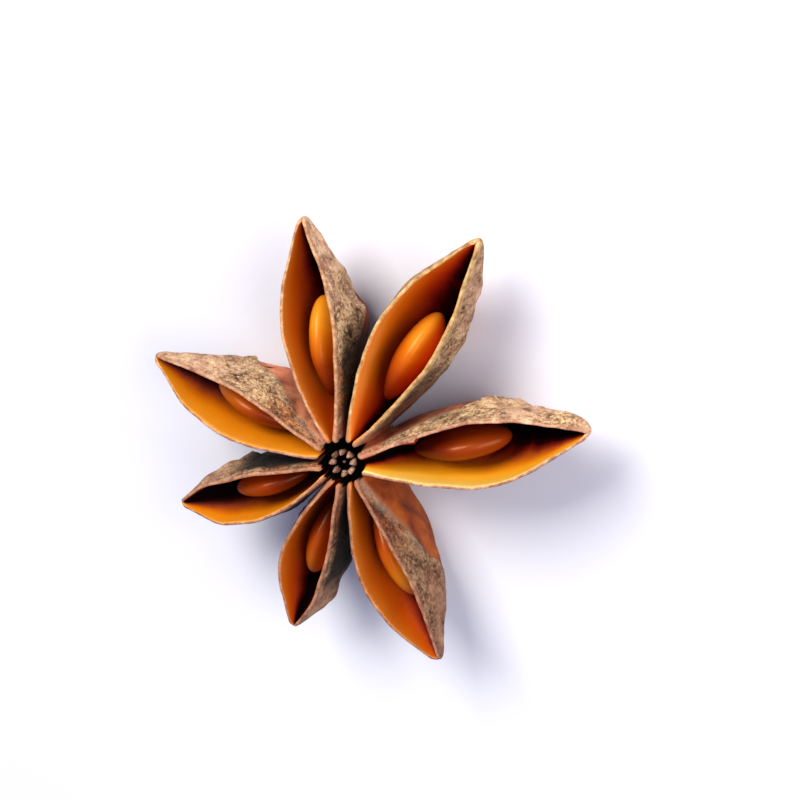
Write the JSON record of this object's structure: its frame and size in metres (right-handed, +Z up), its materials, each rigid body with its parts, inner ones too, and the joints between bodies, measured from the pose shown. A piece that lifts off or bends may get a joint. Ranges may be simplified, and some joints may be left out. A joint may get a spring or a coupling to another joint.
{
  "type": "star anise",
  "caption": "Dried star-shaped spice fruit: boat-shaped pods split open around a short central column, each holding a glossy flattened seed.",
  "frame": {"origin": "middle of the fruit's footprint, on the surface that it lies on", "axes": "+Z up, out of the pods' open mouths; +X roughly along the pod with the widest throat; +Y a quarter turn anticlockwise from it, seen from above"},
  "size_m": [0.0366, 0.0365, 0.0093],
  "materials": {
    "husk": "dry woody rind, rough and speckled outside, with a smooth satin orange-brown lining",
    "seed": "polished hard seed coat, caramel brown"
  },
  "bodies": {
    "root": {"husk": "husk", "seed_1": "seed", "seed_2": "seed", "seed_3": "seed", "seed_4": "seed", "seed_5": "seed", "seed_6": "seed", "seed_7": "seed"}
  },
  "joints": []
}
